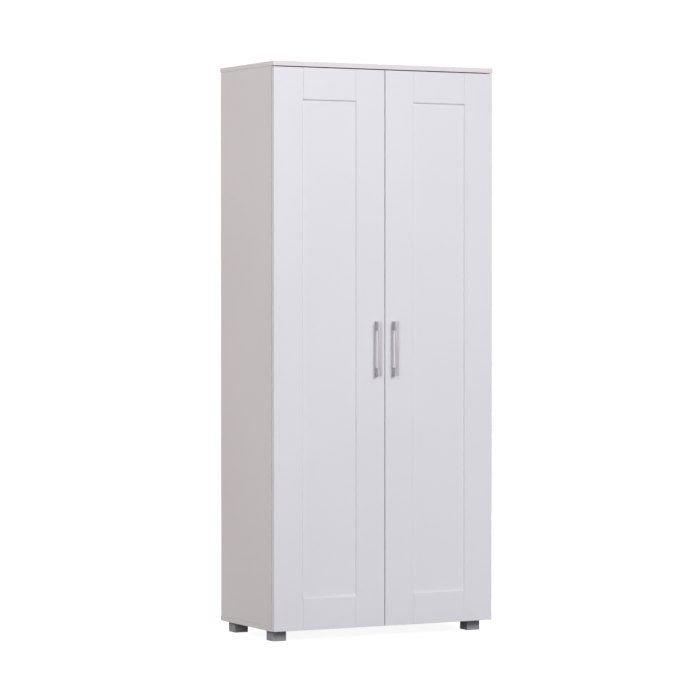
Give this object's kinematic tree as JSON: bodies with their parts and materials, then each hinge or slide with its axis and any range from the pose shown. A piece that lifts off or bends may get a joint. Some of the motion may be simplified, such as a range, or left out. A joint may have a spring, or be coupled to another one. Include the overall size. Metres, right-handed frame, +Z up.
{
  "type": "pantry cabinet",
  "caption": "Tall white pantry cabinet with a pair of framed doors on concealed hinges, bar handles, shelves behind and square plastic feet.",
  "frame": {"origin": "middle of the whole outline's footprint, on the floor", "axes": "+Z up, the doors and handles face -Y, +X to the right seen from the front"},
  "size_m": [0.8, 0.427, 1.85],
  "materials": {
    "white_board": "white melamine faced board, satin",
    "door_foil": "white foil wrapped board, satin",
    "back_board": "thin fibre board, white face",
    "white_plastic": "extruded white plastic",
    "foot_plastic": "moulded grey plastic",
    "handle_metal": "satin anodised",
    "handle_post_metal": "satin anodised, darker",
    "nickel_steel": "nickel plated pressed steel",
    "zinc_steel": "zinc plated",
    "beech": "raw grooved dowel",
    "bumper_plastic": "clear soft pads"
  },
  "bodies": {
    "carcass": {"top_panel": "white_board", "bottom_panel": "white_board", "left_side_panel": "white_board", "right_side_panel": "white_board", "back_panel_left": "back_board", "back_panel_right": "back_board", "back_joining_strip": "white_plastic", "fixed_shelf": "white_board", "adjustable_shelf_1": "white_board", "adjustable_shelf_2": "white_board", "adjustable_shelf_3": "white_board", "adjustable_shelf_4": "white_board", "foot_front_left": "foot_plastic", "foot_front_right": "foot_plastic", "foot_back_left": "foot_plastic", "foot_back_right": "foot_plastic", "shelf_pins": "zinc_steel", "foot_screws": "zinc_steel", "cam_locks": "zinc_steel", "cam_bolts": "zinc_steel", "wooden_dowels": "beech", "back_nails": "zinc_steel", "wall_brackets": "zinc_steel", "bracket_screws": "zinc_steel", "hinge_plate_screws": "zinc_steel", "hinge_adjusting_screws": "zinc_steel", "hinge_arm_axles": "zinc_steel", "left_hinge_plates": "nickel_steel", "right_hinge_plates": "nickel_steel", "left_hinge_arms": "nickel_steel", "right_hinge_arms": "nickel_steel"},
    "left_outer_links": {"left_outer_links": "nickel_steel"},
    "left_inner_links": {"left_inner_links": "nickel_steel"},
    "left_door": {"left_door_outer_stile": "door_foil", "left_door_inner_stile": "door_foil", "left_door_top_rail": "door_foil", "left_door_bottom_rail": "door_foil", "left_door_panel": "door_foil", "left_handle_bar": "handle_metal", "left_handle_posts": "handle_post_metal", "left_handle_screws": "zinc_steel", "left_hinge_cups": "nickel_steel", "left_cup_axles": "zinc_steel", "left_cup_screws": "zinc_steel", "left_door_bumpers": "bumper_plastic"},
    "right_outer_links": {"right_outer_links": "nickel_steel"},
    "right_inner_links": {"right_inner_links": "nickel_steel"},
    "right_door": {"right_door_outer_stile": "door_foil", "right_door_inner_stile": "door_foil", "right_door_top_rail": "door_foil", "right_door_bottom_rail": "door_foil", "right_door_panel": "door_foil", "right_handle_bar": "handle_metal", "right_handle_posts": "handle_post_metal", "right_handle_screws": "zinc_steel", "right_hinge_cups": "nickel_steel", "right_cup_axles": "zinc_steel", "right_cup_screws": "zinc_steel", "right_door_bumpers": "bumper_plastic"}
  },
  "joints": [
    {"name": "left_door_swing", "type": "hinge", "parent": "left_outer_links", "child": "left_door", "pos_m": [-0.389, -0.1722, 0.934], "axis": [0, 0, -1], "range_deg": [0, 148]},
    {"name": "left_outer_link_pivot", "type": "hinge", "parent": "carcass", "child": "left_outer_links", "pos_m": [-0.377, -0.1689, 0.934], "axis": [0, 0, 1], "range_deg": [0, 58.1]},
    {"name": "left_inner_link_pivot", "type": "hinge", "parent": "carcass", "child": "left_inner_links", "pos_m": [-0.3627, -0.1765, 0.934], "axis": [0, 0, 1], "range_deg": [0, 52.1]},
    {"name": "right_door_swing", "type": "hinge", "parent": "right_outer_links", "child": "right_door", "pos_m": [0.389, -0.1722, 0.934], "axis": [0, 0, 1], "range_deg": [0, 148]},
    {"name": "right_outer_link_pivot", "type": "hinge", "parent": "carcass", "child": "right_outer_links", "pos_m": [0.377, -0.1689, 0.934], "axis": [0, 0, -1], "range_deg": [0, 58.1]},
    {"name": "right_inner_link_pivot", "type": "hinge", "parent": "carcass", "child": "right_inner_links", "pos_m": [0.3627, -0.1765, 0.934], "axis": [0, 0, -1], "range_deg": [0, 52.1]}
  ],
  "couplings": [
    {"joint": "left_outer_link_pivot", "follows": "left_door_swing", "ratio": 0.39189},
    {"joint": "left_inner_link_pivot", "follows": "left_door_swing", "ratio": 0.35135},
    {"joint": "right_outer_link_pivot", "follows": "right_door_swing", "ratio": 0.39189},
    {"joint": "right_inner_link_pivot", "follows": "right_door_swing", "ratio": 0.35135}
  ]
}
